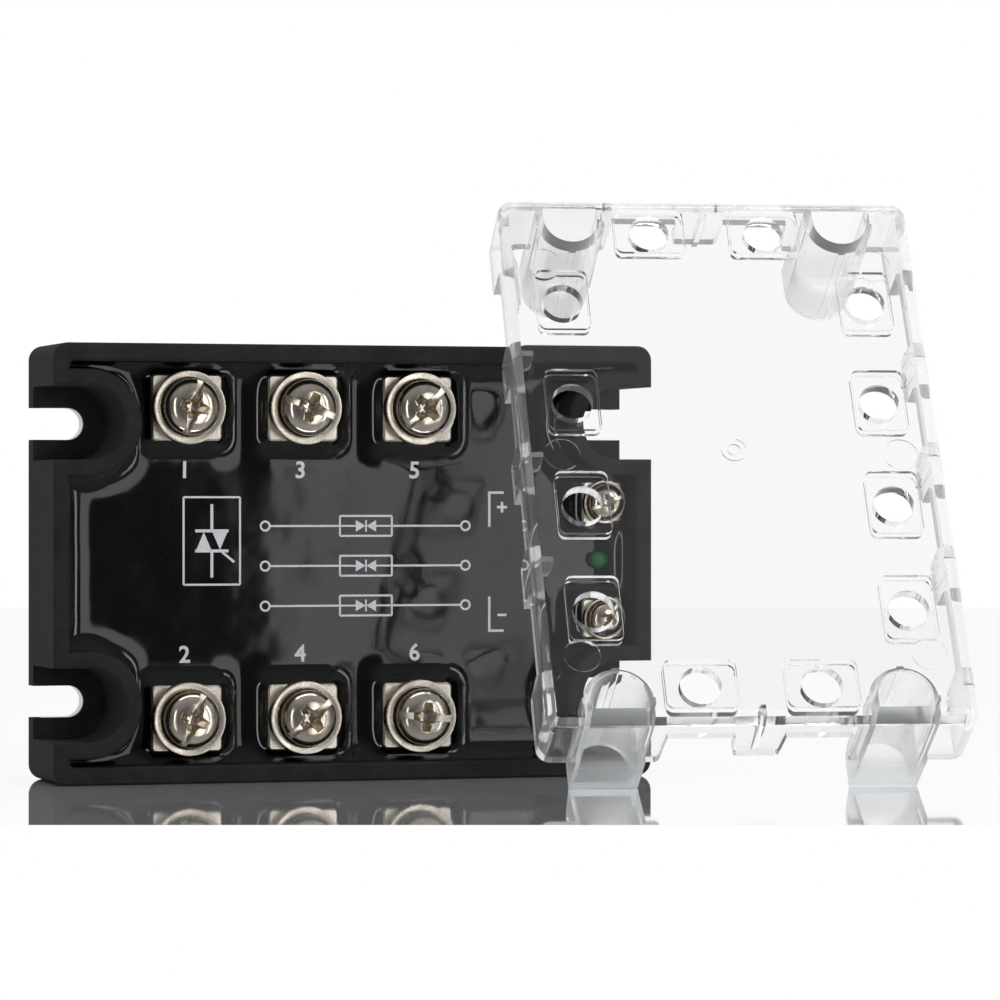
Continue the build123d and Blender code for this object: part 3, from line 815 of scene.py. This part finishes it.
FINISHES = {"housing_plastic": HOUSING_PBT, "base_metal": BASE_ALUMINIUM, "potting_compound": EPOXY,
            "terminal_nickel": PLATE_NICKEL, "washer_nickel": WASHER_NICKEL, "screw_nickel": SCREW_NICKEL,
            "lamp_plastic": LAMP_EPOXY, "clear_plastic": COVER_CLEAR, **BURIED}
for entry in frame["record"]["subparts"]:
    part = frame["nodes"][entry["node"]]
    part.data.materials.clear()
    part.data.materials.append(FINISHES[entry["material_slot"]])


# ------------------------------------------------------------------ floor, light and camera

LOOK_ANGLE = math.radians(17.29)        # the camera looks this far to the right of straight on
FLOOR_GAP = 0.02                        # keeps the floor clear of the pieces that stand on it


def make_floor():
    """White back-painted glass, cut off just in front of the relay: mostly a mirror at this low angle."""
    turn = Matrix.Rotation(-LOOK_ANGLE, 4, "Z")
    near, far, half = -0.1248, 1.2, 1.6
    mesh = bpy.data.meshes.new("sheet")
    sheet = [(-half, near, 0), (half, near, 0), (half, far, 0), (-half, far, 0)]
    mesh.from_pydata(sheet, [], [(0, 1, 2, 3)])
    mesh.transform(Matrix.Translation((0, 0, (HOUSING_LOW[2] - FLOOR_GAP) * MM)) @ turn)
    made = bpy.data.objects.new("floor_sheet", mesh)
    bpy.context.scene.collection.objects.link(made)
    material, tree, out = new_material("back_painted_white_glass")
    place = add(tree, "TexCoord").outputs["Object"]
    rough = ranged(tree, speckle(tree, place, 40.0), 0.3, 0.7, 0.02, 0.05)
    paint = add(tree, "BsdfDiffuse", {"Color": hex_colour("#f4f4f4")})
    mirror = add(tree, "BsdfAnisotropic", {"Color": hex_colour("#ffffff"), "Roughness": rough})
    mixed = add(tree, "MixShader", {0: 0.88, 1: paint.outputs[0], 2: mirror.outputs[0]})
    tree.links.new(mixed.outputs[0], out.inputs["Surface"])
    mesh.materials.append(material)


def make_world():
    """A studio that is white behind the object and dim in front of it, where the camera stands.

    The eye sees plain white; metal, gloss and glass see the studio; the rest is lit by an even fill.
    """
    world = bpy.data.worlds.new("studio")
    bpy.context.scene.world = world
    world.use_nodes = True
    tree = world.node_tree
    tree.nodes.clear()
    out = add(tree, "OutputWorld")
    ray = add(tree, "LightPath")
    way = add(tree, "TexCoord").outputs["Generated"]
    split = add(tree, "SeparateXYZ", {0: way})
    height = add(tree, "Math", {0: split.outputs["Z"]}, operation="ABSOLUTE").outputs[0]
    above = ranged(tree, height, 0.2, 0.75, 0.0, 1.0)
    front = blended(tree, above, hex_colour("#5a5a5b"), hex_colour("#9c9c9e"))
    behind = ranged(tree, split.outputs["Y"], -0.1, 0.3, 0.0, 1.0)
    around = blended(tree, behind, front, hex_colour("#ffffff"))
    studio = add(tree, "Background", {"Color": around, "Strength": 1.0})
    fill = add(tree, "Background", {"Color": hex_colour("#ffffff"), "Strength": 0.55})
    white = add(tree, "Background", {"Color": hex_colour("#ffffff"), "Strength": 1.0})
    shiny = add(tree, "Math", {0: ray.outputs["Is Glossy Ray"], 1: ray.outputs["Is Transmission Ray"]},
                operation="MAXIMUM")
    first = add(tree, "MixShader", {0: shiny.outputs[0], 1: fill.outputs[0], 2: studio.outputs[0]})
    last = add(tree, "MixShader", {
        0: ray.outputs["Is Camera Ray"], 1: first.outputs[0], 2: white.outputs[0]})
    tree.links.new(last.outputs[0], out.inputs["Surface"])


def softbox(name, place, aim, width, height, power):
    """A flat lamp that faces a point."""
    lamp = bpy.data.lights.new(name, "AREA")
    lamp.shape, lamp.size, lamp.size_y, lamp.energy = "RECTANGLE", width, height, power
    made = bpy.data.objects.new(name, lamp)
    bpy.context.scene.collection.objects.link(made)
    made.location = place
    made.rotation_euler = (Vector(aim) - Vector(place)).to_track_quat("-Z", "Y").to_euler()


def make_camera():
    """Level, at the height of the relay's middle, through a long lens."""
    camera = bpy.data.cameras.new("camera")
    camera.lens, camera.sensor_width = 164.0, 36.0
    made = bpy.data.objects.new("camera", camera)
    bpy.context.scene.collection.objects.link(made)
    made.location = (-0.20566, -0.76239, 0.01062)
    made.rotation_euler = (math.radians(90), 0.0, -LOOK_ANGLE)
    bpy.context.scene.camera = made


make_floor()
make_world()
MIDDLE = (0.0, 0.0, 0.0)
softbox("front_panel", (0.34, -0.86, 0.0), MIDDLE, 0.26, 0.9, 1.5)
softbox("right_strip", (0.66, -0.72, 0.0), MIDDLE, 0.10, 0.9, 1.5)
softbox("left_strip", (-0.68, -0.73, 0.0), MIDDLE, 0.06, 0.8, 1.0)
softbox("top_strip", (0.0, -0.10, 0.85), MIDDLE, 0.9, 0.10, 1.6)
make_camera()

bpy.context.scene.view_settings.view_transform = "Standard"
